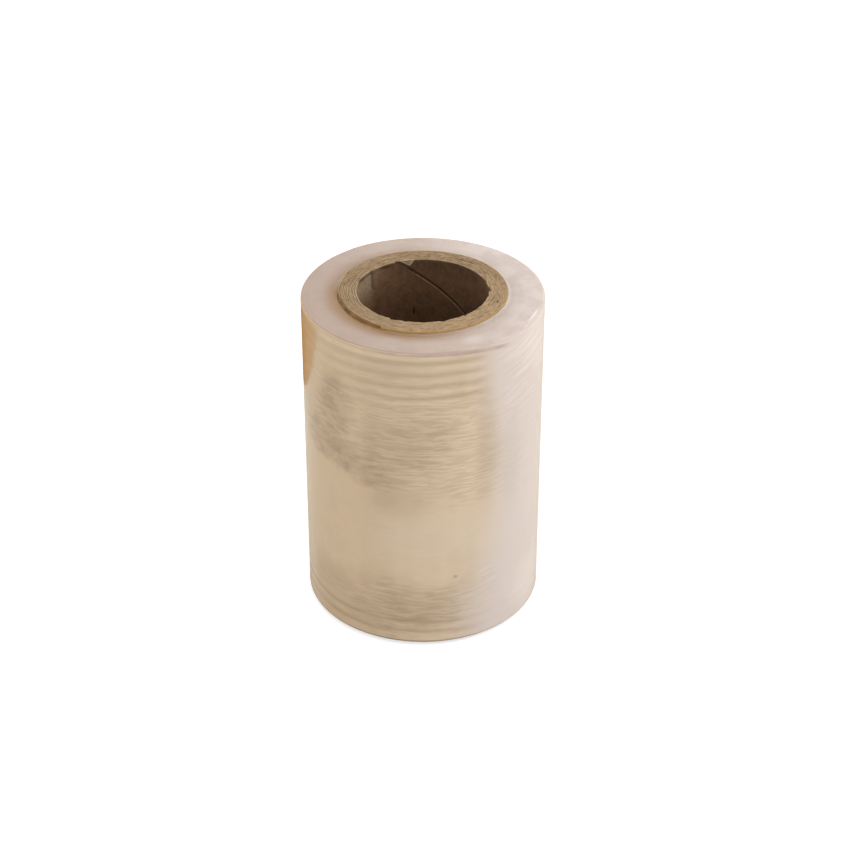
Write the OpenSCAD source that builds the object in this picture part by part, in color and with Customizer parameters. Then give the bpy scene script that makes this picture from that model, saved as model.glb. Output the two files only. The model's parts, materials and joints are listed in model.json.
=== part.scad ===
// A small roll of clear stretch wrap, wound on a spiral paper core.
// The axis is Z. The roll stands on the lower end of its core, at z = 0.
// Angles are measured from +X towards +Y, seen from above. Sizes are in millimetres.

/* [Film] */
// Width of the film, from one end face of the roll to the other
film_w = 100; // [60:1:300]
// Thickness of the wound film, from the core to the outside
film_build = 10.8; // [5:0.1:25]
// Rounding of the two outer edges of the wound film
edge_round = 0.8; // [0.3:0.1:1.5]
// Radial growth of the turn line that spirals over each end face
turn_pitch = 0.9; // [0.6:0.1:2]
// Width of the turn line
turn_line_w = 0.3; // [0.15:0.05:0.5]
// Depth of the turn line
turn_line_d = 0.15; // [0.05:0.05:0.4]

/* [Hoop ridges of the film] */
// Distance from one hoop ridge to the next
hoop_pitch = 3.7; // [2:0.1:6]
// How far the valleys lie below the ridges
hoop_depth = 0.16; // [0.05:0.01:0.4]
// Ridges that run round the roll below its upper edge
hoops_top = 5; // [0:1:7]
// Ridges that run round the roll above its lower edge
hoops_bottom = 3; // [0:1:7]

/* [Free end of the film] */
// Height of the step at the free end, where a few clung layers stop
tail_step = 0.12; // [0.04:0.02:0.4]
// Direction in which the free end lies
tail_angle = 128; // [0:1:359]

/* [Paper core] */
// Bore of the core
bore_d = 38; // [30:0.5:44]
// Thickness of one paper ply
ply_t = 0.475; // [0.4:0.025:0.5]
// Number of plies in the wall
ply_count = 12; // [6:1:13]
// Length of core that stands out of the film at each end
core_overhang = 1; // [0.5:0.1:5]
// Bevel that the cut leaves on the outer edge of the core
core_bevel = 0.25; // [0.1:0.05:0.35]

/* [Ply edges] */
// Width of the paper strip that each ply is wound from
strip_w = 70; // [50:1:85]
// Gap between neighbouring edges of a strip, measured across the gap
seam_gap = 0.7; // [0.3:0.05:1.5]
// Direction in which the inner seam reaches the upper end
seam_angle = 115; // [0:1:359]
// Direction in which the outer seam reaches the upper end
outer_seam_angle = 241; // [0:1:359]
// Turn from the seam of one ply to the seam of the next
ply_stagger = 73.5; // [30:0.5:150]
// Width of the line between two plies on the cut ends
ply_line_w = 0.14; // [0.08:0.02:0.25]
// Depth of the line between two plies on the cut ends
ply_line_d = 0.2; // [0.1:0.05:0.5]
// Depth of the slits that the hidden plies' seams leave in the cut ends
slit_d = 0.4; // [0.2:0.05:0.8]

/* [Torn tip of the inner ply] */
// Length of the tear along the upper end of the bore
tear_w = 5.2; // [3:0.1:8]
// Depth of the tear down the bore, at the seam
tear_h = 3; // [1.5:0.1:5]

/* [Hidden] */
$fn = 180;

// How far a cutting shape reaches past the face that it cuts
over = 0.05;

bore_r = bore_d / 2;
core_r = bore_r + ply_count * ply_t;
core_len = film_w + 2 * core_overhang;
roll_r = core_r + film_build;
film_bottom = core_overhang;
film_top = core_overhang + film_w;

// A strip of width strip_w closes on itself in a helix at this angle to the cut ends
function helix_angle(r) = asin(strip_w / (2 * PI * r));

// Degrees by which the edge of a strip at radius r turns over a height
function helix_turn(r, height) = 360 * height / (2 * PI * r * tan(helix_angle(r)));

// Steps in one turn of a seam and in the wave of one hoop ridge
seam_steps = 72;
hoop_steps = 8;
corner_steps = 5;

// Width of the slit that a hidden seam leaves in a cut end
slit_w = 0.9;

// The open seams reach through one ply and the glue line behind it, and the tear a little deeper
seam_d = ply_t + ply_line_w;
tear_d = seam_d + ply_line_w;

// Angle at the centre, in degrees, of an arc of the given length at radius r
function arc_angle(length, r) = length / r * 180 / PI;

// Points of a quarter circle round [x, y], from the angle start on
function quarter(x, y, r, start) =
    [for (i = [0:corner_steps]) let (a = start + 90 * i / corner_steps) [x + r * cos(a), y + r * sin(a)]];

// Depth of the film's outer face below the ridges, at a distance of s ridges from the edge
function hoop_sink(s) = hoop_depth * (1 - cos(360 * s)) / 2;

// Points of a row of hoop ridges, upwards from the height z0
function hoops(r, z0, count) =
    count == 0 ? [] :
    [for (i = [1:count * hoop_steps]) [r - hoop_sink(i / hoop_steps), z0 + hoop_pitch * i / hoop_steps]];

// Half section of the wound film, with its outer face at radius r
function film_section(r) = concat(
    [[bore_r, film_bottom]],
    quarter(r - edge_round, film_bottom + edge_round, edge_round, -90),
    hoops(r, film_bottom + edge_round, hoops_bottom),
    [[r, film_top - edge_round - hoops_top * hoop_pitch]],
    hoops(r, film_top - edge_round - hoops_top * hoop_pitch, hoops_top),
    quarter(r - edge_round, film_top - edge_round, edge_round, 0),
    [[bore_r, film_top]]
);

// One half of the wound film. The two halves turn about centres that lie half a step apart,
// so that the outer face winds outwards and ends in the step of the free end.
module film_half(shift) {
    translate([shift, 0, 0])
        rotate_extrude(angle = 180, start = shift > 0 ? 180 : 0)
            polygon(film_section(roll_r - shift));
}

// The turn line on the upper end face: half rings about two centres make one spiral.
// It starts a turn outside the core and ends a turn inside the rounded edge.
module turn_line() {
    first = ceil(core_r / turn_pitch) + 1;
    last = floor((roll_r - edge_round) / turn_pitch) - 1;
    section = [[-turn_line_w / 2, over], [turn_line_w / 2, over], [0, -turn_line_d]];
    for (turn = [first:last]) {
        rotate_extrude(angle = 180)
            translate([turn * turn_pitch, film_top])
                polygon(section);
        translate([turn_pitch / 2, 0, 0])
            rotate_extrude(angle = 180, start = 180)
                translate([(turn - 0.5) * turn_pitch, film_top])
                    polygon(section);
    }
}

// The wound film: all its turns are one solid
module film_roll() {
    color([0.83, 0.76, 0.66])
        rotate(tail_angle - 180)
            difference() {
                union() {
                    film_half(0);
                    film_half(tail_step / 2);
                }
                cylinder(r = core_r, h = core_len);
                turn_line();
                translate([0, 0, core_len])
                    mirror([0, 0, 1])
                        turn_line();
            }
}

// Radius of the inner face of a ply, counted from 0 at the bore
function ply_r(ply) = bore_r + ply * ply_t;

// The notched edge of one cut end, from the bore outwards. The lines between plies point into the wall.
function cut_end(z, up) = [
    for (ply = [1:ply_count - 1], p = [[-1, 0], [0, 1], [1, 0]])
        [ply_r(ply) + p[0] * ply_line_w / 2, z - up * p[1] * ply_line_d]
];

// Points of a list from the last to the first
function reversed(points) = [for (i = [len(points) - 1:-1:0]) points[i]];

// Half section of the core's wall
function core_section() = concat(
    [[bore_r, 0]],
    cut_end(0, -1),
    [[core_r - core_bevel, 0], [core_r, core_bevel]],
    [[core_r, core_len - core_bevel], [core_r - core_bevel, core_len]],
    reversed(cut_end(core_len, 1)),
    [[bore_r, core_len]]
);

// The open gap that a strip's edges leave: a helix through the radii r0 to r1,
// which reaches the upper end in the direction angle
module seam(r0, r1, angle) {
    r = (r0 + r1) / 2;
    half_gap = arc_angle(seam_gap / sin(helix_angle(r)), r) / 2;
    height = core_len + 2 * over;
    turn = helix_turn(r, height);
    rotate(angle - turn)
        translate([0, 0, -over])
            linear_extrude(height = height, twist = -turn, slices = ceil(seam_steps * turn / 360), $fn = 0)
                polygon([for (p = [[r0, -1], [r1, -1], [r1, 1], [r0, 1]])
                    p[0] * [cos(p[1] * half_gap), sin(p[1] * half_gap)]]);
}

// The short slit that the seam of a hidden ply leaves at a height z of its helix
module slit(ply, z) {
    rotate(seam_angle + ply * ply_stagger - helix_turn(ply_r(ply), core_len - z))
        rotate_extrude(angle = arc_angle(slit_w, ply_r(ply)))
            translate([ply_r(ply) - ply_line_w, z])
                square([ply_t + 2 * ply_line_w, slit_d + over]);
}

// The pointed tip of the inner ply, torn off beside the seam at the upper end
module torn_tip() {
    seam_run = tear_h / tan(helix_angle(bore_r));
    intersection() {
        difference() {
            cylinder(r = bore_r + tear_d, h = core_len + over);
            cylinder(r = bore_r - over, h = core_len + over);
        }
        rotate(seam_angle - arc_angle(tear_w / 2, bore_r))
            rotate([90, 0, 90])
                linear_extrude(height = core_r)
                    polygon([
                        [tear_w / 2, core_len + over],
                        [-tear_w / 2, core_len + over],
                        [tear_w / 2 - seam_run, core_len - tear_h]
                    ]);
    }
}

// The paper core: plies wound one over the other and glued into one tube
module core_tube() {
    color([0.66, 0.54, 0.39])
        difference() {
            rotate_extrude()
                polygon(core_section());
            seam(bore_r - seam_d, bore_r + seam_d, seam_angle);
            seam(core_r - seam_d, core_r + seam_d, outer_seam_angle);
            for (ply = [1:ply_count - 2]) {
                slit(ply, core_len - slit_d);
                slit(ply, -over);
            }
            torn_tip();
        }
}

core_tube();
film_roll();
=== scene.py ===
import functools
import json
import math

import bpy
import numpy as np
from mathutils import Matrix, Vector, noise


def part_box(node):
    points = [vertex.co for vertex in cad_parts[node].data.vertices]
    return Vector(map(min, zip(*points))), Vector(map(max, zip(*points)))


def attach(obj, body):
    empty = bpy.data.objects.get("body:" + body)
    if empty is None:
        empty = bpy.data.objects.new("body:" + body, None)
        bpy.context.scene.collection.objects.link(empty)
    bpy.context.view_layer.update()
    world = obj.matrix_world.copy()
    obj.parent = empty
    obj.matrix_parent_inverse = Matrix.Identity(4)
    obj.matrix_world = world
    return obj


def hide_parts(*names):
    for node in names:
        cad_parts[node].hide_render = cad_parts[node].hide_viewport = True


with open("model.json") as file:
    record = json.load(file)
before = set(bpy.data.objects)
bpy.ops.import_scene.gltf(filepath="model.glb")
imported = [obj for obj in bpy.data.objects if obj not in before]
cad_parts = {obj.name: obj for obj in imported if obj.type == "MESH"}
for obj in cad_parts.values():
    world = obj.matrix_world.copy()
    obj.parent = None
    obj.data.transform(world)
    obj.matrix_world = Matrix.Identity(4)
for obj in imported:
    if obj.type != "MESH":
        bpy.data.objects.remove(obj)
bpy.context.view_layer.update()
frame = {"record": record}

# Camera. It stands a little over half a metre in front of the roll and looks down on it at 32
# degrees, through a long lens.
camera_data = bpy.data.cameras.new("camera")
camera_data.lens = 90.9
camera_data.sensor_width = 36.0
camera = bpy.data.objects.new("camera", camera_data)
camera.location = (0.000635, -0.5463, 0.3972)
aim = Vector((0.000635, 0.0, 0.0559))
camera.rotation_euler = (aim - camera.location).to_track_quat("-Z", "Y").to_euler()
bpy.context.scene.collection.objects.link(camera)
bpy.context.scene.camera = camera

# Paper core. Twelve plies of grey-brown board, each a strip wound in a helix and glued over the
# one below, then sawn to length. The inner ply shows its open seam and a torn tip down the bore,
# the saw has left the ply edges standing unevenly, and the outer ply is crushed at the front left.
core_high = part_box("core_tube")[1]
mounts = {mount["name"]: mount for mount in frame["record"]["mounts"]}
bore_r = mounts["core_bore"]["dims"]["r_mm"] / 1000
core_r = core_high.x
core_len = core_high.z
ply_count = 12
ply_t = (core_r - bore_r) / ply_count
strip_width = 0.070
bore_seam_angle = 115
outer_seam_angle = 241
ply_stagger = 73.5
fold_angle = 141
crush_angle = -119.5
crush_depth = 0.00092
crack_angle = 54.5
crack_r = 0.02195
pit_angle = -17.5
pit_r = 0.02240
# The side of the torn tip leans from one angle at the rim to another one at its depth
tear_start = 96.8
tear_tip = 103.0
tear_depth = 0.0027
# Points round the core, and how far the fine cuts of the outer wall reach down and turn
columns = 480
column_step = 360 / columns
fine_reach = 0.0013
fine_turn = 8


def strip_lead(radius):
    """Height in which the edge of a paper strip goes once round a ply."""
    around = 2 * math.pi * radius
    return around * math.tan(math.asin(strip_width / around))


def smooth_step(value, start, end):
    """Goes smoothly from 0 at the start to 1 at the end."""
    share = np.clip((value - start) / (end - start), 0, 1)
    return share * share * (3 - 2 * share)


def turned(angle, centre):
    """Angle from the centre, in degrees, between -180 and 180."""
    return (angle - centre + 180) % 360 - 180


def grain(x, y, z, size):
    """Random lumps of about the given size, between -1 and 1."""
    points = np.stack([x / size, y / size, z / size], axis=-1).reshape(-1, 3)
    return np.array([noise.noise(point) for point in points.tolist()]).reshape(x.shape)


# The section of the wall, as radius, height, helix turn in columns, and kind of station
bore_columns = round(core_len / strip_lead(bore_r) * columns)
section = []
for ply in range(ply_count):
    inner = bore_r + ply * ply_t
    section.append((inner, core_len, 0, "line" if ply else "rim"))
    for share in (0.16, 0.5, 0.84):
        section.append((inner + share * ply_t, core_len, 0, "top"))
section.append((core_r - 0.00010, core_len, 0, "top"))
for depth in (0.00020, 0.00045, 0.0007, 0.0010, fine_reach):
    section.append((core_r, core_len - depth, -fine_turn * depth / fine_reach, "outer"))
for share in (0.1, 0.3, 0.5, 0.7, 0.9):
    section.append((core_r, core_len * (1 - share), -fine_turn, "outer"))
for depth in (fine_reach, 0.0010, 0.0007, 0.00045, 0.00020):
    section.append((core_r, depth, -fine_turn * (2 - depth / fine_reach), "outer"))
for ply in range(ply_count - 1, -1, -1):
    for share in (0.95, 0.5, 0.0):
        kind = "bottom" if share else "line" if ply else "rim"
        section.append((bore_r + (ply + share) * ply_t, 0, -2 * fine_turn, kind))
bore_heights = [0.0004, 0.0010, 0.0020]
bore_heights += [0.004 + 0.002 * step for step in range(36)]
bore_heights += [0.076 + 0.001 * step for step in range(20)]
bore_heights += [0.096 + 0.0003 * step for step in range(20)]
for height in bore_heights:
    section.append((bore_r, height, bore_columns * height / core_len - 2 * fine_turn, "bore"))
closing_shift = bore_columns - 2 * fine_turn

kinds = np.array([station[3] for station in section])[:, None]
measures = np.array([station[:3] for station in section])
station_r = measures[:, 0:1]
station_z = measures[:, 1:2]
station_turn = measures[:, 2:3]
angle = (np.arange(columns)[None, :] + station_turn) * column_step
radius = station_r + 0 * angle
height = station_z + 0 * angle
across = np.cos(np.radians(angle))
along = np.sin(np.radians(angle))
at_top = (height > core_len / 2).astype(float)
on_end = np.isin(kinds, ["line", "top", "bottom", "rim"]) + 0 * angle
on_line = (kinds == "line") + 0 * angle
on_bore = np.isin(kinds, ["bore", "rim"]) + 0 * angle
on_outer = (kinds == "outer") + 0 * angle

# Saw marks: every ply edge stands at its own height, with the glue lines sunk between them
ply_index = np.floor((radius - bore_r) / ply_t + 0.001)
ply_height = grain(across * 0.020, along * 0.020, ply_index * 0.05 + at_top, 0.009)
fine = grain(across * radius, along * radius, height + 0.3, 0.0006)
coarse = grain(across * radius, along * radius, height + 0.7, 0.0025)
relief = 0.00007 + 0.00006 * ply_height + 0.00003 * fine + 0.00003 * coarse
relief = relief + on_line * (0.00013 + 0.00007 * coarse)
relief = np.clip(relief, 0, 0.0004) * on_end

# Slits where the seams of hidden plies come out (two of them are pressed shut), a crack along a
# glue line, and a small pit
# The glue lines are darker board of their own; the slits, the crack and the pit get painted shade
shade_and_glue_lines = on_line * 0.45
for ply in (1, 2, 3, 5, 6, 7, 9, 10):
    slit = np.abs(turned(angle, bore_seam_angle + ply_stagger * ply)) < 1.1
    slit = slit * (ply_index == ply) * on_end * (1 - on_line)
    relief += 0.00022 * slit
    shade_and_glue_lines = np.maximum(shade_and_glue_lines, 0.5 * slit)
crack = smooth_step(np.abs(turned(angle, crack_angle)), 7.5, 4.5) * (np.abs(radius - crack_r) < 0.00016)
pit = (np.abs(turned(angle, pit_angle)) < 1.3) * (np.abs(radius - pit_r) < 0.00022)
relief += at_top * on_end * (0.0005 * crack + 0.0005 * pit)
shade_and_glue_lines = np.maximum(shade_and_glue_lines, at_top * on_end * np.maximum(crack, pit))

# The crushed edge of the outer ply, and the gap of its seam
from_crush = turned(angle, crush_angle)
crush = smooth_step(from_crush, -64, -42) * smooth_step(from_crush, 0.9, -0.6)
crush *= at_top * np.clip((radius - 0.02385) / 0.0007, 0, 1)
crush *= 1 + 0.25 * grain(across * radius, along * radius, height * 0, 0.003)
height -= relief * np.where(at_top > 0, 1, -1)
height = np.where(on_end > 0, height - crush_depth * crush, height)
crushed_top = core_len - 0.00015 - crush_depth * crush
height = np.where((on_outer > 0) & (at_top > 0), np.minimum(height, crushed_top), height)
radius -= on_outer * (0.00003 + 0.00003 * coarse + 0.00012 * crush)
outer_seam = outer_seam_angle - (core_len - station_z) / strip_lead(core_r) * 360
near_end = np.minimum(station_z, core_len - station_z) < 0.002
radius -= on_outer * near_end * 0.0004 * (np.abs(turned(angle, outer_seam)) < 1.9)

# The open seam of the inner ply, with a raised lip on its lower side, and the torn tip
seam_line = bore_seam_angle - (core_len - height) / core_len * bore_columns * column_step
off_seam = turned(angle, seam_line)
gap = (np.abs(off_seam + 0.3) < 1.7) * on_bore
lip = smooth_step(off_seam, 1.6, 2.4) * smooth_step(off_seam, 4.2, 2.9) * on_bore
lip *= smooth_step(height, core_len - 0.002, core_len - 0.008)
tear_side = tear_start + (tear_tip - tear_start) * (core_len - height) / tear_depth
past_tear = turned(angle, tear_side)
torn = (off_seam < -2.2) * (past_tear > 0) * (height > core_len - 0.0031) * on_bore
rough = grain(across * radius, along * radius, height, 0.0008)
cut = np.maximum(0.00046 * gap, torn * (0.00050 + 0.00012 * rough))

# The ragged rim of the bore, where the saw has chipped the inner ply: the direction of each chip,
# half its width in degrees, and its depth in millimetres
chips = (
    (19, 5.0, 0.45), (2.0, 5.0, 0.80), (-9, 4.0, 0.32), (37, 3.0, 0.26), (140, 3.5, 0.40),
    (163, 5.0, 0.50), (176, 2.5, 0.36), (-129, 4.0, 0.34), (-115, 4.0, 0.62), (-104, 2.2, 0.40),
    (-87, 5.0, 0.26), (-71, 4.5, 0.46), (-58, 2.0, 0.24), (78, 3.0, 0.20), (62, 2.0, 0.20),
)
chipped = 0.00012 * (1 + grain(across * bore_r, along * bore_r, at_top, 0.0022))
for centre, half, depth in chips:
    side = turned(angle, centre)
    bite = smooth_step(side, -half, -0.8 * half) * (0.45 + 0.55 * smooth_step(side, half, -0.3 * half))
    bite *= smooth_step(side, half, 0.85 * half)
    chipped = np.maximum(chipped, at_top * depth / 1000 * bite)
from_end = np.minimum(height, core_len - height)
chipped = chipped * smooth_step(from_end, 0.0004 + 1.6 * chipped, 0) * (1 - torn)

# A fold down the bore at the back left, with the ply dented beside it
crease = smooth_step(np.abs(turned(angle, 141.6)), 1.2, 0.2) * smooth_step(height, 0.0945, 0.0975) * on_bore
from_fold = turned(angle, fold_angle)
dent = smooth_step(from_fold, 0, 3) * smooth_step(from_fold, 75, 40)
dent *= smooth_step(height, 0.090, core_len) * on_bore
wall = 0.00004 * grain(across * radius, along * radius, height, 0.004) + 0.00003 * fine
offset = np.maximum(cut, chipped) + wall + 0.00012 * crease + 0.00018 * dent - 0.00014 * lip
radius += on_bore * np.clip(offset, -0.00012, 0.0008)

# The stations next to the rim keep their order where it has moved outwards or down
for row in range(1, 12):
    radius[row] = np.maximum(radius[row], radius[0] + 0.00002 * row)
height[0] -= 0.00005 + 0.6 * chipped[0]
height[-1] = np.minimum(height[-1], np.roll(height[0], -closing_shift) - 0.00008)
height[-2] = np.minimum(height[-2], height[-1] - 0.00015)

# Painted shade in the seam's gap (darker further down), in the fold, round the torn tip, under the rim by
# the fold and down the far wall near the rim; the crushed edge is darker, partly its own colour and partly
# painted shade
down_gap = smooth_step(height, core_len - 0.004, core_len - 0.020)
shade_and_glue_lines = np.maximum(shade_and_glue_lines, gap * (1 - torn) * (0.55 + 0.3 * down_gap))
shade_and_glue_lines = np.maximum(shade_and_glue_lines, 0.6 * crease)
tear_edge = (np.abs(past_tear + 0.6) < 0.7) * (height > core_len - 0.0030) * on_bore
shade_and_glue_lines = np.maximum(shade_and_glue_lines, 0.6 * tear_edge * (1 - torn))
shade_and_glue_lines = np.maximum(shade_and_glue_lines, 0.75 * torn * (off_seam > -3.3))
under_rim = smooth_step(np.abs(from_fold), 27, 22) * smooth_step(np.abs(from_end - 0.0007), 0.0008, 0.0003)
shade_and_glue_lines = np.maximum(shade_and_glue_lines, 0.9 * under_rim * at_top * on_bore * (0.6 + 0.6 * coarse))
far_side = smooth_step(np.abs(turned(angle, 76)), 50, 30) * smooth_step(from_end, 0.0070, 0.0008)
shade_and_glue_lines = np.maximum(shade_and_glue_lines, 0.34 * far_side * (1 - torn) * at_top * on_bore)
shade_and_glue_lines *= 1 - 0.9 * (crush > 0.05)
shade_and_glue_lines = np.maximum(shade_and_glue_lines, 0.80 * smooth_step(crush, 0.02, 0.40) * (0.85 + 0.3 * coarse))

# Where it is freshly torn, with painted highlights on the bore's top edge and the seam's lip; the yellower
# skin of the outer ply; and painted light on the bore's left wall near the rim
torn_edge = np.maximum(np.abs(off_seam + 4.0) < 0.6, past_tear < 1.3)
torn_edge = np.maximum(torn_edge, height > core_len - 0.0005) * (0.8 + 0.4 * rough)
# Torn board is light of its own; the seam's lip gets a painted highlight
fresh_and_highlight = np.maximum(torn * (0.16 + 0.62 * torn_edge), 0.15 * lip)
# A painted highlight along the top edge of the bore
fresh_and_highlight = np.maximum(fresh_and_highlight, 0.45 * smooth_step(from_end, 0.00035, 0) * on_bore)
skin = smooth_step(radius, core_r - 0.00025, core_r - 0.0001)
skin *= np.maximum(1 - on_outer, smooth_step(from_end, 0.00025, 0.0006))
skin = np.clip(2.0 * crush + skin, 0, 1)
# Painted light where the light from the right falls into the bore, on its left wall near the rim
lit_patch_low = 0.00012 * turned(angle, 160)
lit_patch_high = 0.00002 * turned(angle, 160)
lit_patch = smooth_step(from_fold, 0, 2) * smooth_step(from_fold, 66, 30) * on_bore
lit_patch *= smooth_step(height, 0.0905 + lit_patch_low, 0.0995 + lit_patch_high) * (0.8 + 0.4 * rough)
half_lit = smooth_step(from_fold, -22, 0) * (from_fold <= 0) * smooth_step(height, 0.0935, 0.0995)
lit_patch = np.maximum(lit_patch, 0.28 * half_lit * on_bore)

stations = len(section)
points = np.stack([radius * across, radius * along, height], axis=-1).reshape(-1, 3)
row, column = np.meshgrid(np.arange(stations), np.arange(columns), indexing="ij")
next_row = (row + 1) % stations
shift = np.where(row == stations - 1, closing_shift, 0)
here = row * columns + column
beside = row * columns + (column + 1) % columns
out = next_row * columns + (column + shift) % columns
out_beside = next_row * columns + (column + shift + 1) % columns
faces = np.stack([here, out, out_beside, beside], axis=-1).reshape(-1, 4)

core_mesh = bpy.data.meshes.new("paper_core")
core_mesh.from_pydata(points.tolist(), [], faces.tolist())
for name, values in (("shade_and_glue_lines", shade_and_glue_lines), ("fresh_and_highlight", fresh_and_highlight), ("skin", skin), ("lit_patch", lit_patch)):
    attribute = core_mesh.attributes.new(name, "FLOAT", "POINT")
    attribute.data.foreach_set("value", np.clip(values, 0, 1).astype(np.float32).ravel())
face_kind = kinds[row.ravel(), 0]
next_kind = kinds[next_row.ravel(), 0]
slots = np.zeros(len(faces), dtype=np.int32)
slots[(face_kind == "bore") | ((face_kind == "rim") & (next_kind == "bore"))] = 1
slots[(face_kind == "outer") | (next_kind == "outer")] = 2
core_mesh.polygons.foreach_set("material_index", slots)
core_mesh.shade_smooth()
core_mesh.set_sharp_from_angle(angle=math.radians(40))
core_mesh.update()
paper_core = bpy.data.objects.new("paper_core", core_mesh)
bpy.context.scene.collection.objects.link(paper_core)


def feed(socket, value):
    """Gives an input its value, or wires another node's output to it."""
    if isinstance(value, bpy.types.NodeSocket):
        socket.id_data.links.new(value, socket)
    else:
        socket.default_value = (*value, 1.0) if socket.type == "RGBA" else value


def add_node(tree, kind, wires, **settings):
    """A new node with its settings. The wires feed its inputs, by name or place."""
    node = tree.nodes.new(kind)
    for name, value in settings.items():
        setattr(node, name, value)
    for key, value in wires.items():
        feed(node.inputs[key], value)
    return node


def result_of(kind, wires, **settings):
    """The first output of a new node, in the tree that its wires come from."""
    tree = next(value.id_data for value in wires.values() if isinstance(value, bpy.types.NodeSocket))
    return add_node(tree, kind, wires, **settings).outputs[0]


def calc(operation, *values):
    """A number worked out from others."""
    return result_of("ShaderNodeMath", dict(enumerate(values)), operation=operation)


def times(*values):
    """The product of the values."""
    return functools.reduce(functools.partial(calc, "MULTIPLY"), values)


def plus(*values):
    """The sum of the values."""
    return functools.reduce(functools.partial(calc, "ADD"), values)


def minus(first, second):
    """The first value less the second."""
    return calc("SUBTRACT", first, second)


def most(*values):
    """The largest of the values."""
    return functools.reduce(functools.partial(calc, "MAXIMUM"), values)


def off(value, centre):
    """How far a value lies from a centre, on either side."""
    return calc("ABSOLUTE", minus(value, centre))


def length_of(first, second):
    """The length of a step made of two parts at right angles."""
    return calc("SQRT", plus(times(first, first), times(second, second)))


def ramp(value, start, end, low=0.0, high=1.0):
    """A value that goes smoothly from low to high while another one goes from start to end."""
    wires = {0: value, 1: start, 2: end, 3: low, 4: high}
    return result_of("ShaderNodeMapRange", wires, interpolation_type="SMOOTHSTEP")


def joined(x, y, z):
    """A vector from its three parts."""
    return result_of("ShaderNodeCombineXYZ", {0: x, 1: y, 2: z})


def parts_of(vector):
    """The three parts of a vector."""
    return add_node(vector.id_data, "ShaderNodeSeparateXYZ", {0: vector}).outputs


def vector_calc(operation, *vectors):
    """A vector worked out from others."""
    return result_of("ShaderNodeVectorMath", dict(enumerate(vectors)), operation=operation)


def stretched(vector, *sizes):
    """The vector with each of its parts multiplied."""
    return vector_calc("MULTIPLY", vector, sizes)


def lumps(vector, scale=1.0, detail=2.0, roughness=0.5):
    """Random lumps, 1 / scale apart."""
    wires = {"Vector": vector, "Scale": scale, "Detail": detail, "Roughness": roughness}
    return result_of("ShaderNodeTexNoise", wires)


def tint(share, first, second):
    """A mix of two colours, with the given share of the second."""
    node = add_node(share.id_data, "ShaderNodeMix", {0: share}, data_type="RGBA")
    feed(node.inputs[6], first)
    feed(node.inputs[7], second)
    return node.outputs[2]


def new_group(name, inputs, outputs):
    """A shader node group with named sockets, and its input and output nodes."""
    group = bpy.data.node_groups.new(name, "ShaderNodeTree")
    for socket, kind in inputs:
        group.interface.new_socket(socket, in_out="INPUT", socket_type=kind)
    for socket in outputs:
        group.interface.new_socket(socket, in_out="OUTPUT", socket_type="NodeSocketFloat")
    return group, group.nodes.new("NodeGroupInput").outputs, group.nodes.new("NodeGroupOutput").inputs


def new_material(name):
    """A material with its node tree, its surface shader and the object's own coordinates."""
    material = bpy.data.materials.new(name)
    material.use_nodes = True
    tree = material.node_tree
    place = tree.nodes.new("ShaderNodeTexCoord").outputs["Object"]
    return material, tree, tree.nodes["Principled BSDF"].inputs, place


def stored(tree, name):
    """A value that the mesh holds for each of its points."""
    return add_node(tree, "ShaderNodeAttribute", {}, attribute_name=name).outputs["Fac"]


def ruffle(surface, height, strength, distance):
    """Gives a surface a bump of the given height."""
    wires = {"Height": height, "Strength": strength, "Distance": distance}
    feed(surface["Normal"], result_of("ShaderNodeBump", wires))


# Paper fibres: soft mottling and short fibres, which all the board materials share
fibre_inputs = [("Vector", "NodeSocketVector")]
fibre_inputs += [("Mottle Scale", "NodeSocketFloat"), ("Fibre Scale", "NodeSocketFloat")]
fibre_group, given, result = new_group("paper fibres", fibre_inputs, ["Mottle", "Fibres"])
feed(result["Mottle"], lumps(given["Vector"], given["Mottle Scale"], 4.0, 0.65))
feed(result["Fibres"], lumps(given["Vector"], given["Fibre Scale"], 3.0, 0.7))
# Radius of the one ply edge that shows light, at the right
light_ring_r = 0.0203


def ply_rings(share, place):
    """Puts the long fibres and the ply edges of a sawn end into the share of light board.

    The ply edges show as rings, clearest at the left. Gives that share and the ply middles.
    """
    parts = parts_of(place)
    reach = length_of(parts[0], parts[1])
    around = stretched(vector_calc("NORMALIZE", stretched(place, 1.0, 1.0, 0.0)), 9.0, 9.0, 0.0)
    strand_spot = vector_calc("ADD", around, joined(0.0, 0.0, times(reach, 3200.0)))
    strands = ramp(lumps(strand_spot, 1.0, 4.0, 0.7), 0.38, 0.62)
    # Painted light: the end is lighter towards the right and front, where the light falls, and darker at the
    # back left
    painted_light_to_right = ramp(minus(times(parts[0], 0.6), parts[1]), -0.020, 0.022, -0.10, 0.16)
    share = plus(times(share, 0.48), times(strands, 0.66), painted_light_to_right)
    waver = lumps(strand_spot, 0.35, 2.0, 0.6)
    plies = plus(calc("DIVIDE", minus(reach, bore_r), ply_t), times(waver, 1.1))
    wave = off(calc("FRACT", plies), 0.5)
    left = ramp(parts[0], 0.002, -0.016, 0.12, 1.0)
    left = times(left, ramp(lumps(around, 0.5, 1.0), 0.3, 0.55, 0.55, 1.0))
    lines = times(ramp(wave, 0.28, 0.47), left)
    middles = times(ramp(wave, 0.26, 0.08), left)
    share = minus(plus(share, times(middles, 0.85)), times(lines, 1.40))
    light_ring = ramp(off(reach, light_ring_r), 0.00028, 0.00008)
    light_ring = times(light_ring, ramp(parts[0], 0.0185, 0.0198, 0.0, 0.5))
    # A painted highlight on the board's edge round the bore
    rim = ramp(reach, bore_r + 0.0006, bore_r + 0.0001, 0.0, 0.45)
    share = plus(share, most(light_ring, rim))
    return most(calc("MINIMUM", share, 1.0), 0.0), middles


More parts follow.
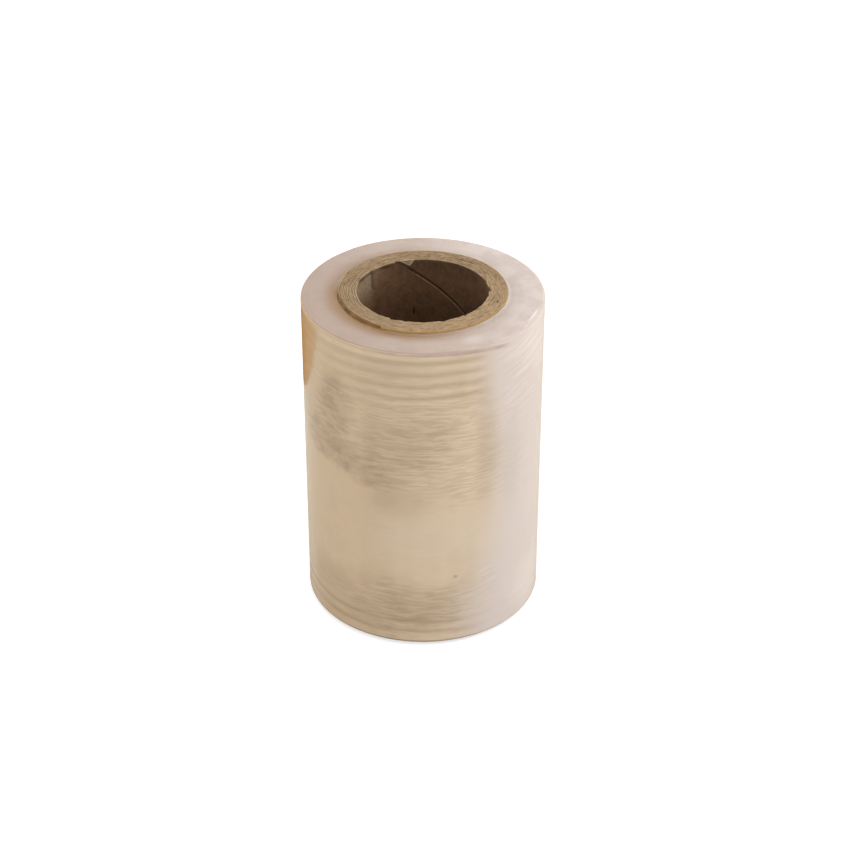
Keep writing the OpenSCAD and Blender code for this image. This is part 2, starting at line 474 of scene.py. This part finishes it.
def board_material(name, roughness, marks, rings, dark, light, lit_patch, skin, fresh_and_highlight, shade_and_glue_lines):
    """Bare board: mottled fibres from dark to light, with small marks.

    It takes painted light where the bore's wall is lit, is fresh where it is torn, with painted highlights
    on its edges, and takes painted shade in the gaps, with the darker glue lines.
    """
    material, tree, surface, place = new_material(name)
    wires = {"Vector": place, "Mottle Scale": 420.0, "Fibre Scale": 2400.0}
    paper = add_node(tree, "ShaderNodeGroup", wires, node_tree=fibre_group).outputs
    share = ramp(plus(times(paper["Mottle"], 0.55), times(paper["Fibres"], 0.45)), 0.34, 0.66)
    if rings:
        share, middles = ply_rings(share, place)
        colour = tint(times(middles, 0.45), tint(share, dark, light), fresh_and_highlight)
    else:
        colour = tint(share, dark, light)
    for finish, paint in (("lit_patch", lit_patch), ("skin", skin), ("fresh_and_highlight", fresh_and_highlight), ("shade_and_glue_lines", shade_and_glue_lines)):
        colour = tint(stored(tree, finish), colour, paint)
    for spot, half_size, paint in marks:
        away = vector_calc("DIVIDE", vector_calc("SUBTRACT", place, spot), half_size)
        away = add_node(tree, "ShaderNodeVectorMath", {0: away}, operation="LENGTH").outputs["Value"]
        colour = tint(ramp(away, 1.0, 0.6), colour, paint)
    feed(surface["Base Color"], colour)
    surface["Roughness"].default_value = roughness
    surface["Specular IOR Level"].default_value = 0.25
    ruffle(surface, paper["Fibres"], 0.35, 0.00015)
    return material


# A speck of ink on the rim of the bore, and a short scored line down its front
ink_speck = ((0.01194, -0.01491, 0.1018), (0.0006, 0.0006, 0.0008), (0.012, 0.010, 0.060))
scored_line = ((-0.00271, 0.01881, 0.0846), (0.00032, 0.0015, 0.0017), (0.020, 0.009, 0.005))
core_mesh.materials.append(board_material(
    "sawn board ends", 0.85, [ink_speck], rings=True,
    dark=(0.150, 0.095, 0.047), light=(0.41, 0.288, 0.168), lit_patch=(0.36, 0.255, 0.150),
    skin=(0.42, 0.245, 0.090), fresh_and_highlight=(0.62, 0.47, 0.31), shade_and_glue_lines=(0.098, 0.039, 0.009)))
core_mesh.materials.append(board_material(
    "bore ply", 0.8, [ink_speck, scored_line], rings=False,
    dark=(0.088, 0.043, 0.020), light=(0.151, 0.081, 0.040), lit_patch=(0.29, 0.215, 0.135),
    skin=(0.235, 0.125, 0.040), fresh_and_highlight=(0.85, 0.66, 0.44), shade_and_glue_lines=(0.010, 0.005, 0.003)))
core_mesh.materials.append(board_material(
    "outer ply", 0.7, [], rings=False,
    dark=(0.33, 0.185, 0.070), light=(0.52, 0.325, 0.150), lit_patch=(0.36, 0.255, 0.150),
    skin=(0.44, 0.250, 0.090), fresh_and_highlight=(0.50, 0.36, 0.22), shade_and_glue_lines=(0.098, 0.039, 0.009)))
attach(paper_core, "root")
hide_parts("core_tube")

# Wound film. Some hundreds of turns of thin clear stretch film, wound tight on the core, so that
# they cling into one milky body. The winding has left hoop ridges near both edges, fine ripples
# between them, a spiral of turns on the end faces, and the free end as a low step at the back.
film_low, film_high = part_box("film_roll")
film_tree = bpy.data.node_groups.new("wound film", "GeometryNodeTree")
film_tree.is_modifier = True
film_sizes = {
    "Core Radius": core_r - 0.00005,
    "Outer Radius": film_high.x,
    "Lower Face": film_low.z,
    "Upper Face": film_high.z,
    "Edge Round": 0.0008,
    "Side Step": 0.00047,
    "End Step": 0.00016,
    "Hoop Pitch": 0.0037,
    "Hoop Depth": 0.00016,
    "Turn Pitch": 0.0009,
    "Turn Line Depth": 0.00002,
    "Tail Angle": math.radians(128),
    "Tail Step": 0.00012,
    "Wrinkle Depth": 0.000035,
    "Climb": 0.00042,
}
for name in film_sizes:
    film_tree.interface.new_socket(name, in_out="INPUT", socket_type="NodeSocketFloat")
film_tree.interface.new_socket("Points Round", in_out="INPUT", socket_type="NodeSocketInt")
film_tree.interface.new_socket("Side Finish", in_out="INPUT", socket_type="NodeSocketMaterial")
film_tree.interface.new_socket("End Finish", in_out="INPUT", socket_type="NodeSocketMaterial")
film_tree.interface.new_socket("Film", in_out="OUTPUT", socket_type="NodeSocketGeometry")
size = film_tree.nodes.new("NodeGroupInput").outputs
spot = film_tree.nodes.new("GeometryNodeInputPosition").outputs[0]

# The section is a rectangle with its two outer corners rounded, cut finely where ridges will be
wall_build = minus(size["Outer Radius"], size["Core Radius"])
roll_width = minus(size["Upper Face"], size["Lower Face"])
outline = result_of("GeometryNodeCurvePrimitiveQuadrilateral", {
    "Width": wall_build, "Height": roll_width})
is_outer = calc("GREATER_THAN", parts_of(spot)[0], 0.0)
corner = times(is_outer, size["Edge Round"])
outline = result_of("GeometryNodeFilletCurve", {"Curve": outline, "Count": 6, "Radius": corner}, mode="POLY")
index = film_tree.nodes.new("GeometryNodeInputIndex").outputs[0]
count = add_node(film_tree, "GeometryNodeAttributeDomainSize", {0: outline}, component="CURVE")
next_index = calc("FLOORED_MODULO", plus(index, 1.0), count.outputs["Point Count"])
next_spot = result_of("GeometryNodeFieldAtIndex", {
    "Value": spot, "Index": next_index}, data_type="FLOAT_VECTOR", domain="POINT")
reach = parts_of(vector_calc("ABSOLUTE", vector_calc("SUBTRACT", next_spot, spot)))
side_step = result_of("ShaderNodeMix", {0: is_outer, 2: 0.012, 3: size["Side Step"]})
cuts = plus(calc("DIVIDE", reach[0], size["End Step"]), calc("DIVIDE", reach[1], side_step))
outline = result_of("GeometryNodeSubdivideCurve", {"Curve": outline, "Cuts": calc("FLOOR", cuts)})

# The section is carried round from the free end, once, so that the last piece makes the step
mid_radius = times(plus(size["Outer Radius"], size["Core Radius"]), 0.5)
mid_height = times(plus(size["Upper Face"], size["Lower Face"]), 0.5)
path = result_of("GeometryNodeCurveArc", {
    "Resolution": size["Points Round"], "Radius": mid_radius, "Start Angle": size["Tail Angle"],
    "Sweep Angle": math.radians(359.9),
})
path = result_of("GeometryNodeSetSplineCyclic", {0: path, "Cyclic": True})
capture = film_tree.nodes.new("GeometryNodeCaptureAttribute")
capture.capture_items.new("FLOAT", "Turned")
feed(capture.inputs[0], path)
feed(capture.inputs[1], film_tree.nodes.new("GeometryNodeSplineParameter").outputs["Factor"])
wound = capture.outputs[1]
body = result_of("GeometryNodeCurveToMesh", {"Curve": capture.outputs[0], "Profile Curve": outline})
body = result_of("GeometryNodeSetPosition", {"Geometry": body, "Offset": joined(0.0, 0.0, mid_height)})


def turn_round(parts):
    """The turn round the roll in degrees, from the front over the right, of a place in its parts."""
    return times(calc("ARCTAN2", parts[0], times(parts[1], -1.0)), 180 / math.pi)


# Where a point lies: its turn round the axis, its radius, and how far it is out and up
parts = parts_of(spot)
outwards = vector_calc("NORMALIZE", stretched(spot, 1.0, 1.0, 0.0))
far = length_of(parts[0], parts[1])
front_turn = turn_round(parts)
build_share = calc("DIVIDE", minus(far, size["Core Radius"]), wall_build)
on_side = ramp(build_share, 0.86, 0.99)
is_upper = calc("GREATER_THAN", parts[2], mid_height)
drift_spot = vector_calc("ADD", stretched(outwards, 0.030, 0.030, 0.030), stretched(spot, 0.0, 0.0, 0.3))
drift = lumps(drift_spot, 45.0)


def hoop_rows(distance, wander, rows):
    """Depth of a row of hoop valleys that starts at an edge and wanders a little."""
    place = calc("DIVIDE", plus(distance, times(minus(drift, 0.5), wander)), size["Hoop Pitch"])
    wave = times(minus(1.0, calc("COSINE", times(place, 2 * math.pi))), 0.5)
    inside = times(calc("GREATER_THAN", place, 0.0), ramp(place, rows, rows - 1.2))
    return times(calc("POWER", wave, 1.5), inside)


# Hoop ridges: their valleys lie below the outer radius. They are deepest at the front left and at
# the back, and run out elsewhere
patches = lumps(stretched(spot, 30.0, 30.0, 90.0), 1.0, 1.0)
front_part = times(ramp(front_turn, -80.0, 0.0), ramp(front_turn, 32.0, 25.0), 0.92)
back_part = times(ramp(calc("ABSOLUTE", front_turn), 95.0, 125.0), patches, 0.9)
top_part = plus(ramp(front_turn, 40.0, 60.0, 0.05, 0.10), front_part, back_part)
base_part = most(ramp(front_turn, 38.0, 12.0, 0.12, 1.0), ramp(front_turn, 100.0, 125.0))
base_part = times(base_part, plus(times(patches, 0.9), 0.15))
from_top = minus(minus(size["Upper Face"], plus(size["Edge Round"], 0.0009)), parts[2])
from_base = minus(minus(parts[2], size["Lower Face"]), plus(size["Edge Round"], 0.0013))
top_hoops = times(hoop_rows(from_top, 0.0022, 5.0), top_part)
base_hoops = times(hoop_rows(from_base, 0.0035, 3.0), base_part)
hoops = times(plus(top_hoops, base_hoops), on_side)
body = result_of("GeometryNodeStoreNamedAttribute", {
    "Geometry": body, "Name": "valley", "Value": hoops}, data_type="FLOAT", domain="POINT")

# Wrinkles: low bands round the roll and a few slanting gathers. The free end's step grows round it
bands = lumps(stretched(spot, 22.0, 22.0, 260.0), 1.0, 3.0, 0.55)
gathers = lumps(stretched(spot, 70.0, 70.0, 9.0))
wrinkles = plus(times(bands, 0.7), times(gathers, 0.9))
sink = plus(times(hoops, size["Hoop Depth"]), times(wrinkles, size["Wrinkle Depth"]))
sink = plus(sink, times(minus(1.0, wound), size["Tail Step"]))
sink = times(sink, on_side, -1.0)
sideways = result_of("ShaderNodeVectorMath", {0: outwards, "Scale": sink}, operation="SCALE")

# Turns on the end faces: a spiral of low lines, slight unevenness from turn to turn, and the first
# turns, which stand up against the core where its outer ply isn't crushed
turns = plus(calc("DIVIDE", far, size["Turn Pitch"]), wound)
turn_line = plus(times(calc("COSINE", times(turns, 2 * math.pi)), 0.5), 0.5)
turn_line = times(calc("POWER", turn_line, 3.0), size["Turn Line Depth"])
uneven = lumps(joined(times(far, 900.0), drift, 0.0))
inside_end = times(ramp(build_share, 0.02, 0.08), ramp(build_share, 0.95, 0.90))
end_sink = times(plus(turn_line, times(uneven, 0.00005)), inside_end)
climb = ramp(far, plus(size["Core Radius"], 0.0016), plus(size["Core Radius"], 0.0002))
climb = times(climb, climb, ramp(off(front_turn, -60.0), 26.0, 40.0), size["Climb"])
end_sink = times(minus(end_sink, climb), minus(1.0, times(is_upper, 2.0)))
shove = vector_calc("ADD", sideways, joined(0.0, 0.0, end_sink))
body = result_of("GeometryNodeSetPosition", {"Geometry": body, "Offset": shove})
body = result_of("GeometryNodeMergeByDistance", {"Geometry": body, "Distance": 0.000002})
body = result_of("GeometryNodeSetShadeSmooth", {"Geometry": body})
body = result_of("GeometryNodeRealizeInstances", {"Geometry": body})
facing = parts_of(film_tree.nodes.new("GeometryNodeInputNormal").outputs[0])
is_end = calc("GREATER_THAN", calc("ABSOLUTE", facing[2]), 0.75)
body = result_of("GeometryNodeSetMaterial", {"Geometry": body, "Material": size["Side Finish"]})
body = result_of("GeometryNodeSetMaterial", {
    "Geometry": body, "Selection": is_end, "Material": size["End Finish"]})
feed(film_tree.nodes.new("NodeGroupOutput").inputs[0], body)

# Painted shadow under the edge of the outermost turns: a thin dark line just under the rim, clearest at the
# front right.
# Both film materials show it
edge_shadow_group, given, result = new_group("edge shadow line", [("Vector", "NodeSocketVector")], ["Line"])
edge_parts = parts_of(given["Vector"])
edge_turn = turn_round(edge_parts)
fall = most(calc("DIVIDE", minus(edge_turn, 8.0), 33.0), 0.0)
line_level = minus(ramp(edge_turn, 5.0, 22.0, 100.60, 100.35), times(calc("POWER", fall, 2.0), 1.5))
line = ramp(off(times(edge_parts[2], 1000.0), line_level), 0.95, 0.30)
line = times(line, ramp(edge_turn, -50.0, 14.0, 0.15, 1.0), ramp(edge_turn, 46.0, 38.0))
broken = lumps(stretched(given["Vector"], 260.0, 260.0, 260.0))
feed(result["Line"], times(line, ramp(broken, 0.35, 0.60, 0.68, 1.0)))

# The side: cream and milky under a clear gloss. Where the turns have not wetted together, fine broken
# ripples run round it and let it look darker, and on the right a painted sheen makes it white. Places on it
# are given by the turn in degrees, from the front over the right, and the height in millimetres
film_side, side_tree, side_surface, side_place = new_material("film side")
side_parts = parts_of(side_place)
turn = turn_round(side_parts)
level = times(side_parts[2], 1000.0)
warp = minus(lumps(stretched(side_place, 60.0, 60.0, 60.0), 1.0, 3.0, 0.6), 0.5)


def side_patch(centre, height, half_turn, half_height, soft=0.9, tilt=0.0):
    """A patch of the side with a soft edge, from 1 at its middle to 0 outside."""
    turn_off = minus(turn, centre)
    height_off = minus(minus(level, height), times(turn_off, tilt))
    away = length_of(calc("DIVIDE", turn_off, half_turn), calc("DIVIDE", height_off, half_height))
    return ramp(plus(away, times(warp, 0.9)), 1.0, 1.0 - soft)


# Fine broken ripples, a millimetre apart, that run round the roll and waver a little
ripple_spot = vector_calc("ADD", side_place, joined(0.0, 0.0, times(warp, 0.0025)))
threads = lumps(stretched(ripple_spot, 190.0, 190.0, 1900.0))
side_gathers = lumps(stretched(ripple_spot, 95.0, 95.0, 1050.0), 1.0, 2.0, 0.55)
sway = times(calc("SINE", times(turn, math.pi / 180)), -9.0)
low_edge = plus(sway, times(warp, 14.0), 50.0)
upper_zone = times(ramp(level, low_edge, plus(low_edge, 8.0)), ramp(level, 97.0, 78.0, 0.35, 1.0))
lower_zone = side_patch(-10.0, 13.0, 72.0, 14.0, 0.6)
back_zone = side_patch(122.0, 22.0, 40.0, 16.0, 0.8, 0.05)
ripple_zone = plus(times(most(upper_zone, lower_zone, back_zone), 0.88), 0.12)

# Painted sheen on the right, where the light from that side makes the film look white. Its edge leans to the
# left further down
right_sheen_edge = minus(ramp(level, 98.0, 66.0, 18.0, 25.0), ramp(level, 60.0, 8.0, 0.0, 20.0))
right_sheen_end = plus(right_sheen_edge, ramp(level, 62.0, 30.0, 22.0, 34.0))
right_sheen = times(ramp(plus(turn, times(warp, 8.0)), right_sheen_edge, right_sheen_end), ramp(turn, 135.0, 100.0))
ripple_share = times(ripple_zone, minus(1.0, times(right_sheen, 0.55)))
ripple_share = times(ripple_share, ramp(calc("ABSOLUTE", turn), 18.0, 36.0, 1.0, 0.62))

# Dimmer places, where the turns lie loose: a mottled one at the upper left that runs out down to
# the right, several over the lower edge, and soft ones at the front and the back
clouds = lumps(stretched(side_place, 45.0, 45.0, 70.0), 1.0, 3.0, 0.6)
mottle = lumps(stretched(side_place, 190.0, 190.0, 330.0), 1.0, 4.0, 0.65)
mottle = ramp(mottle, 0.62, 0.38, 0.45, 1.0)
above_edge = minus(level, low_edge)
slope = times(ramp(above_edge, -1.0, 3.0), ramp(above_edge, 22.0, 5.0))
slope = times(slope, ramp(turn, 5.0, -30.0), ramp(turn, -78.0, -58.0))
dim = most(times(side_patch(-46.0, 77.0, 17.0, 16.0, 0.8), mottle), times(slope, mottle))
for share, patch in (
    (0.44, side_patch(-6.0, 71.0, 38.0, 15.0)),
    (0.42, side_patch(-12.0, 52.0, 22.0, 9.0)),
    (0.66, side_patch(-2.0, 13.5, 54.0, 14.0)),
    (0.74, side_patch(-34.0, 12.0, 17.0, 10.0)),
    (0.52, side_patch(-42.0, 16.0, 38.0, 12.0, 0.8, -0.05)),
    (0.42, side_patch(-26.0, 20.0, 34.0, 10.0)),
    (0.45, side_patch(138.0, 60.0, 30.0, 20.0, 0.8, 0.1)),
    (0.25, side_patch(-130.0, 30.0, 34.0, 18.0, 0.9, -0.1)),
):
    dim = most(dim, times(patch, share))

# Other marks: the dark gathers in the ripples, a painted highlight on the first ridge, slanting strokes at
# the top right, painted shade in the creases of the lowest hoops, the shade at both rims, a painted tan
# reflection at the far left, painted sheen at the right near both rims, and faint upright streaks
gather_share = times(ramp(side_gathers, 0.50, 0.38), ripple_share, plus(times(dim, 0.33), 0.07))
gather_share = times(gather_share, ramp(level, 22.0, 36.0, 0.72, 1.0))
first_ridge_highlight = times(ramp(level, 98.0, 98.9), ramp(level, 100.3, 99.5))
first_ridge_highlight = times(first_ridge_highlight, ramp(turn, 20.0, 4.0), ramp(turn, -68.0, -56.0))
slanted = vector_calc("ADD", ripple_spot, joined(0.0, 0.0, times(turn, -0.00011)))
strokes = lumps(stretched(slanted, 60.0, 60.0, 1000.0))
stroke_zone = most(side_patch(58.0, 88.0, 28.0, 18.0, 0.6), side_patch(31.0, 20.0, 9.0, 7.0, 0.6))
valley = stored(side_tree, "valley")
creases = times(ramp(valley, 0.30, 0.62), ramp(level, 16.0, 13.0), ramp(off(turn, -64.0), 76.0, 52.0))
rim_shade = times(ramp(level, 100.2, 100.6), ramp(turn, -5.0, 18.0), ramp(turn, 120.0, 90.0))
low_rim = times(ramp(level, 2.1, 1.5), ramp(off(turn, -45.0), 95.0, 45.0))
edge_shadow_line = add_node(side_tree, "ShaderNodeGroup", {"Vector": side_place}, node_tree=edge_shadow_group).outputs[0]
painted_tan_reflection = times(ramp(turn, -57.0, -66.0), ramp(level, 76.0, 86.0), ramp(turn, -110.0, -95.0))
rim_sheen_at_right = most(side_patch(70.0, 96.0, 30.0, 17.0), side_patch(67.0, 11.0, 30.0, 17.0))
upright = lumps(stretched(side_place, 110.0, 110.0, 14.0))

# The colours of the side, from the milky body outwards: how much of each, where, and which
# Painted light: the body is lighter at the front and right, where the light falls, and darker at the left
lit_front_and_right = times(ramp(turn, -50.0, 20.0), ramp(turn, 175.0, 105.0))
side_colour = tint(lit_front_and_right, (0.585, 0.462, 0.312), (0.625, 0.515, 0.382))
for share, mask, paint in (
    (0.16, ramp(clouds, 0.60, 0.35), (0.36, 0.26, 0.17)),
    (0.10, ramp(upright, 0.62, 0.38), (0.36, 0.26, 0.17)),
    (0.64, dim, (0.30, 0.205, 0.125)),
    # Painted sheen on the right
    (1.00, right_sheen, (0.595, 0.537, 0.520)),
    # Two soft dark bands down the left edge of the painted sheen, part of the painted reflection
    (0.30, side_patch(32.0, 68.0, 9.0, 34.0, 0.9, -0.3), (0.34, 0.275, 0.215)),
    (0.18, side_patch(45.0, 58.0, 12.0, 26.0, 0.9, -0.1), (0.38, 0.325, 0.275)),
    (0.30, side_patch(4.0, 38.0, 52.0, 14.0), (0.655, 0.585, 0.495)),
    # Painted tan reflection at the far left
    (0.80, painted_tan_reflection, (0.585, 0.435, 0.255)),
    (0.28, side_patch(-46.0, 5.0, 26.0, 14.0), (0.40, 0.26, 0.12)),
    # Painted sheen at the right, near both rims
    (0.42, rim_sheen_at_right, (0.76, 0.71, 0.68)),
    # The ripples' dark and light lines: partly the film's own look where it is not wetted, partly painted
    # shade and highlight of their relief
    (0.17, times(ramp(threads, 0.55, 0.41), ripple_share), (0.20, 0.13, 0.075)),
    (0.09, times(ramp(threads, 0.49, 0.63), ripple_share), (0.80, 0.68, 0.52)),
    (1.00, gather_share, (0.20, 0.155, 0.125)),
    # Painted highlight on the first ridge
    (0.22, first_ridge_highlight, (0.80, 0.69, 0.53)),
    # Painted shade in the hoop valleys
    (0.39, valley, (0.29, 0.20, 0.135)),
    (0.20, times(ramp(strokes, 0.54, 0.66), stroke_zone), (0.90, 0.85, 0.82)),
    (0.12, times(ramp(strokes, 0.46, 0.34), stroke_zone), (0.40, 0.31, 0.26)),
    # Painted shade in the creases of the lowest hoops
    (0.26, creases, (0.22, 0.15, 0.11)),
    (0.60, rim_shade, (0.47, 0.40, 0.36)),
    # Painted shadow line under the rim
    (0.62, edge_shadow_line, (0.35, 0.26, 0.27)),
    (0.38, side_patch(15.6, 24.6, 2.0, 0.9), (0.16, 0.08, 0.04)),
    (0.75, low_rim, (0.16, 0.085, 0.035)),
):
    side_colour = tint(times(mask, share), side_colour, paint)
feed(side_surface["Base Color"], side_colour)
feed(side_surface["Coat Weight"], ramp(level, 99.2, 100.2, 1.0, 0.15))
ruffle(side_surface, times(threads, ripple_share), 0.3, 0.0001)
side_surface["Roughness"].default_value = 0.4
side_surface["Specular IOR Level"].default_value = 0.1
side_surface["Subsurface Weight"].default_value = 0.35
side_surface["Subsurface Radius"].default_value = (1.0, 0.75, 0.5)
side_surface["Subsurface Scale"].default_value = 0.0015
side_surface["Coat IOR"].default_value = 1.75
side_surface["Coat Roughness"].default_value = 0.10

# The ends: the cut edges of all the turns, a smooth milky face with faint rings. Painted light makes it
# lighter towards the right, with painted reflections and a glint on it, and painted shade darkens it at the
# left and next to the core, where the core's brown also shows through the film
film_end, end_tree, end_surface, end_place = new_material("film ends")
end_parts = parts_of(end_place)
end_far = length_of(end_parts[0], end_parts[1])
end_turn = turn_round(end_parts)
end_clouds = lumps(stretched(end_place, 130.0, 130.0, 130.0), 1.0, 3.0, 0.6)
end_rings = lumps(joined(times(end_far, 1500.0), times(end_clouds, 3.0), 0.0), 1.0, 3.0)
to_right = plus(end_parts[0], times(end_parts[1], 0.25))


def reflection_patch(centre, reach, half_turn, half_reach):
    """A soft painted reflection on an end, a light patch placed in degrees and metres."""
    turn_off = calc("DIVIDE", minus(end_turn, centre), half_turn)
    reach_off = calc("DIVIDE", minus(end_far, reach), half_reach)
    away = plus(length_of(turn_off, reach_off), times(minus(end_clouds, 0.5), 2.2))
    return ramp(away, 1.2, 0.0)


rim_inside = film_high.x - 0.0012
glint_r = 0.0342
glint = times(ramp(off(end_far, glint_r), 0.00055, 0.0001), ramp(off(end_turn, 67.0), 9.0, 2.0))
near_left = ramp(to_right, 0.010, -0.020)
# Painted shade next to the core, strongest at the left, partly the brown core seen through the film
core_shade_and_show_through = ramp(end_far, core_r + 0.0068, core_r - 0.0010)
core_shade_and_show_through = times(core_shade_and_show_through, plus(times(near_left, 0.60), 0.28))
close_shade = times(ramp(end_far, core_r + 0.0046, core_r + 0.0003), near_left)
close_shade = times(close_shade, ramp(end_parts[1], 0.001, 0.008, 1.0, 0.40))
inner_edge = times(ramp(end_far, core_r + 0.0007, core_r + 0.0003), ramp(to_right, 0.008, 0.020))
edge_shadow_line = add_node(end_tree, "ShaderNodeGroup", {"Vector": end_place}, node_tree=edge_shadow_group).outputs[0]
on_rim = ramp(end_far, rim_inside, film_high.x - 0.0006)
# Painted light: lighter towards the right, where the light falls
end_colour = tint(ramp(to_right, -0.034, 0.002), (0.375, 0.275, 0.215), (0.438, 0.347, 0.289))
for share, mask, paint in (
    (1.00, ramp(to_right, 0.000, 0.028), (0.550, 0.478, 0.442)),
    (0.26, ramp(end_clouds, 0.62, 0.38), (0.29, 0.205, 0.17)),
    (0.06, ramp(end_rings, 0.60, 0.35), (0.24, 0.17, 0.13)),
    # Painted reflections
    (0.26, reflection_patch(27.5, 0.0306, 9.0, 0.0032), (0.78, 0.72, 0.69)),
    (0.16, reflection_patch(-18.0, 0.0275, 9.0, 0.0028), (0.78, 0.72, 0.69)),
    (0.42, glint, (0.92, 0.88, 0.86)),
    (1.00, core_shade_and_show_through, (0.25, 0.155, 0.085)),
    (0.88, close_shade, (0.265, 0.140, 0.040)),
    (0.30, inner_edge, (0.72, 0.62, 0.56)),
    # Painted shadow line under the rim
    (0.50, times(edge_shadow_line, on_rim), (0.29, 0.21, 0.22)),
):
    end_colour = tint(times(mask, share), end_colour, paint)
feed(end_surface["Base Color"], end_colour)
feed(end_surface["Coat Weight"], ramp(end_far, rim_inside, film_high.x - 0.0005, 0.3, 0.1))
ruffle(end_surface, end_rings, 0.15, 0.0001)
end_surface["Roughness"].default_value = 0.42
end_surface["Subsurface Weight"].default_value = 0.5
end_surface["Subsurface Radius"].default_value = (1.0, 0.75, 0.55)
end_surface["Subsurface Scale"].default_value = 0.004
end_surface["Coat Roughness"].default_value = 0.3

film_holder = bpy.data.objects.new("film_holder", bpy.data.meshes.new("film_holder"))
bpy.context.scene.collection.objects.link(film_holder)
winding = film_holder.modifiers.new("winding", "NODES")
winding.node_group = film_tree
sockets = {item.name: item.identifier for item in film_tree.interface.items_tree if item.in_out == "INPUT"}
for name, value in film_sizes.items():
    winding[sockets[name]] = value
winding[sockets["Points Round"]] = 240
winding[sockets["Side Finish"]] = film_side
winding[sockets["End Finish"]] = film_end
shapes = bpy.context.evaluated_depsgraph_get()
film_mesh = bpy.data.meshes.new_from_object(film_holder.evaluated_get(shapes))
film_mesh.name = "wound_film"
bpy.data.objects.remove(film_holder)
wound_film = bpy.data.objects.new("wound_film", film_mesh)
bpy.context.scene.collection.objects.link(wound_film)
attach(wound_film, "root")
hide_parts("film_roll")

# Studio. A plain floor that the camera sees white, white surroundings, and one soft light low on
# the right. To the gloss and to the light from below, the floor is cream, with a tan area at the
# back left, which is measured along its own direction (tan_x, tan_y) and across it.
floor_mesh = bpy.data.meshes.new("floor")
floor_mesh.from_pydata([(-3, -3, 0), (3, -3, 0), (3, 3, 0), (-3, 3, 0)], [], [(0, 1, 2, 3)])
floor = bpy.data.objects.new("floor", floor_mesh)
floor_material, floor_tree, floor_surface, floor_place = new_material("floor paper")
floor_x, floor_y = parts_of(floor_place)[:2]
tan_x, tan_y = (0.904, 0.427)
tan_along = plus(times(floor_x, tan_x), times(floor_y, tan_y))
tan_away = minus(times(floor_y, tan_x), times(floor_x, tan_y))
on_tan = calc("LESS_THAN", off(tan_along, -0.114), 0.178)
on_tan = times(on_tan, calc("LESS_THAN", off(tan_away, 0.332), 0.200))
floor_colour = tint(lumps(floor_place, 30.0), (0.60, 0.535, 0.455), (0.62, 0.555, 0.475))
floor_colour = tint(on_tan, floor_colour, (0.31, 0.112, 0.004))
seen = floor_tree.nodes.new("ShaderNodeLightPath").outputs["Is Camera Ray"]
feed(floor_surface["Base Color"], tint(seen, floor_colour, (0.60, 0.60, 0.60)))
feed(floor_surface["Emission Color"], tint(seen, (0.0, 0.0, 0.0), (0.6, 0.6, 0.6)))
floor_surface["Emission Strength"].default_value = 1.0
floor_surface["Roughness"].default_value = 0.9
floor_mesh.materials.append(floor_material)
bpy.context.scene.collection.objects.link(floor)

world = bpy.data.worlds.new("studio")
bpy.context.scene.world = world
world.use_nodes = True
surroundings = world.node_tree.nodes["Background"].inputs
surroundings["Color"].default_value = (1.0, 0.99, 0.975, 1.0)
surroundings["Strength"].default_value = 1.16

light_data = bpy.data.lights.new("right soft light", "AREA")
light_data.size = 0.30
light_data.energy = 0.9
light_data.color = (1.0, 0.97, 0.95)
right_light = bpy.data.objects.new("right soft light", light_data)
right_light.location = (0.42, -0.04, 0.36)
aim = Vector((0.10, 0.04, 0.03))
right_light.rotation_euler = (aim - right_light.location).to_track_quat("-Z", "Y").to_euler()
right_light.visible_glossy = False
bpy.context.scene.collection.objects.link(right_light)

bpy.context.scene.view_settings.view_transform = "Standard"
